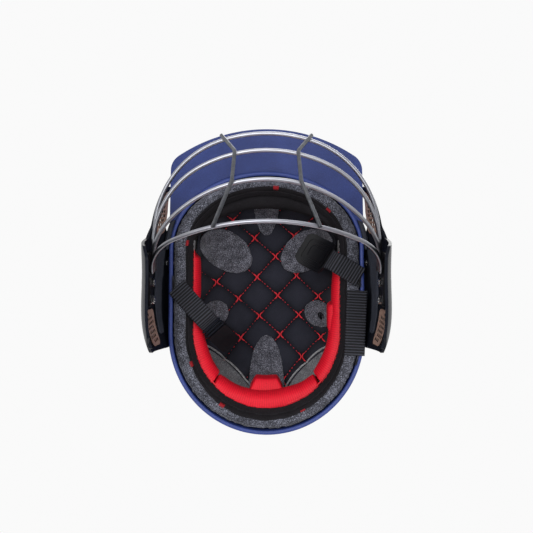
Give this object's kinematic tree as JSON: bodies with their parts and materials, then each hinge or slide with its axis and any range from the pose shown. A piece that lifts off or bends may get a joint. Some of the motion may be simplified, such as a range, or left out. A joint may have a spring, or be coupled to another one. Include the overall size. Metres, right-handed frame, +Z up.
{
  "type": "cricket helmet",
  "caption": "Cricket batting helmet: cloth-covered shell and peak, tilting bar grille, ear guards, quilted padding, chin straps with buckle and cup.",
  "frame": {"origin": "on the ground plane under the middle of the whole helmet, which stands on its ear guards", "axes": "+Z up through the crown, -Y towards the tip of the peak, +X towards the ear guard on the wearer's left, which is the right side of the picture"},
  "size_m": [0.2546, 0.328, 0.25],
  "materials": {
    "blue_cloth": "navy woven cloth over a moulded shell",
    "black_foam": "closed-cell foam",
    "charcoal_foam": "speckled soft foam",
    "dark_lining": "brushed lining cloth",
    "pale_foam": "open-cell foam",
    "quilted_cloth": "black cloth with red diamond stitching",
    "red_rib_cloth": "ribbed knit",
    "grey_felt": "speckled felt",
    "bright_steel": "polished",
    "black_plastic": "satin moulded",
    "black_gloss": "glossy moulded",
    "copper_mesh": "copper-pink coating",
    "slate_cloth": "slate lining cloth",
    "grille_steel": "satin",
    "black_webbing": "ribbed elastic webbing"
  },
  "bodies": {
    "helmet": {"outer_shell": "blue_cloth", "crown_button": "blue_cloth", "peak": "blue_cloth", "impact_liner": "black_foam", "rim_roll": "charcoal_foam", "lining_band": "dark_lining", "crown_foam": "pale_foam", "crown_quilt": "quilted_cloth", "forehead_pad": "dark_lining", "side_pad_front_left": "red_rib_cloth", "side_pad_rear_left": "red_rib_cloth", "side_pad_right": "red_rib_cloth", "rear_pad": "red_rib_cloth", "felt_rear": "grey_felt", "felt_front": "grey_felt", "felt_front_left": "grey_felt", "felt_front_right": "grey_felt", "felt_side_left": "grey_felt", "felt_side_right": "grey_felt", "pivot_screws": "bright_steel", "pivot_nuts": "bright_steel", "clamp_screws": "bright_steel", "clamp_nuts": "bright_steel", "guard_screws": "bright_steel", "guard_nuts": "bright_steel", "left_strap_anchor": "black_plastic", "right_strap_anchor": "black_plastic", "chin_strap_anchor": "black_plastic", "ear_guard_left": "black_gloss", "ear_guard_right": "black_gloss", "mesh_front_left": "copper_mesh", "mesh_front_right": "copper_mesh", "mesh_rear_left": "copper_mesh", "mesh_rear_right": "copper_mesh", "ear_pad_left": "slate_cloth", "ear_pad_right": "slate_cloth"},
    "grille": {"top_bar": "grille_steel", "upper_bar": "grille_steel", "lower_bar": "grille_steel", "chin_bar": "grille_steel", "upright_left": "grille_steel", "upright_right": "grille_steel", "side_plate_left": "grille_steel", "side_plate_right": "grille_steel"},
    "left_harness": {"left_strap": "black_webbing", "buckle": "black_gloss"},
    "right_harness": {"right_strap": "black_webbing"},
    "chin_harness": {"chin_strap": "black_webbing", "chin_cup": "black_plastic"}
  },
  "joints": [
    {"name": "grille_tilt", "type": "hinge", "parent": "helmet", "child": "grille", "pos_m": [0, -0.005, 0.05], "axis": [1, 0, 0], "range_deg": [-4, 4]},
    {"name": "left_strap_swing", "type": "hinge", "parent": "helmet", "child": "left_harness", "pos_m": [-0.0976, 0.006, 0.0996], "axis": [0.7431, -0.659, 0.1162], "range_deg": [-95, 0]},
    {"name": "right_strap_swing", "type": "hinge", "parent": "helmet", "child": "right_harness", "pos_m": [0.09466, 0.079, 0.08673], "axis": [-0.9986, -0.0515, 0.0091], "range_deg": [-80, 0]},
    {"name": "chin_strap_swing", "type": "hinge", "parent": "helmet", "child": "chin_harness", "pos_m": [0.1016, -0.004, 0.10136], "axis": [-0.5299, 0.8352, -0.1473], "range_deg": [-95, 0]}
  ]
}
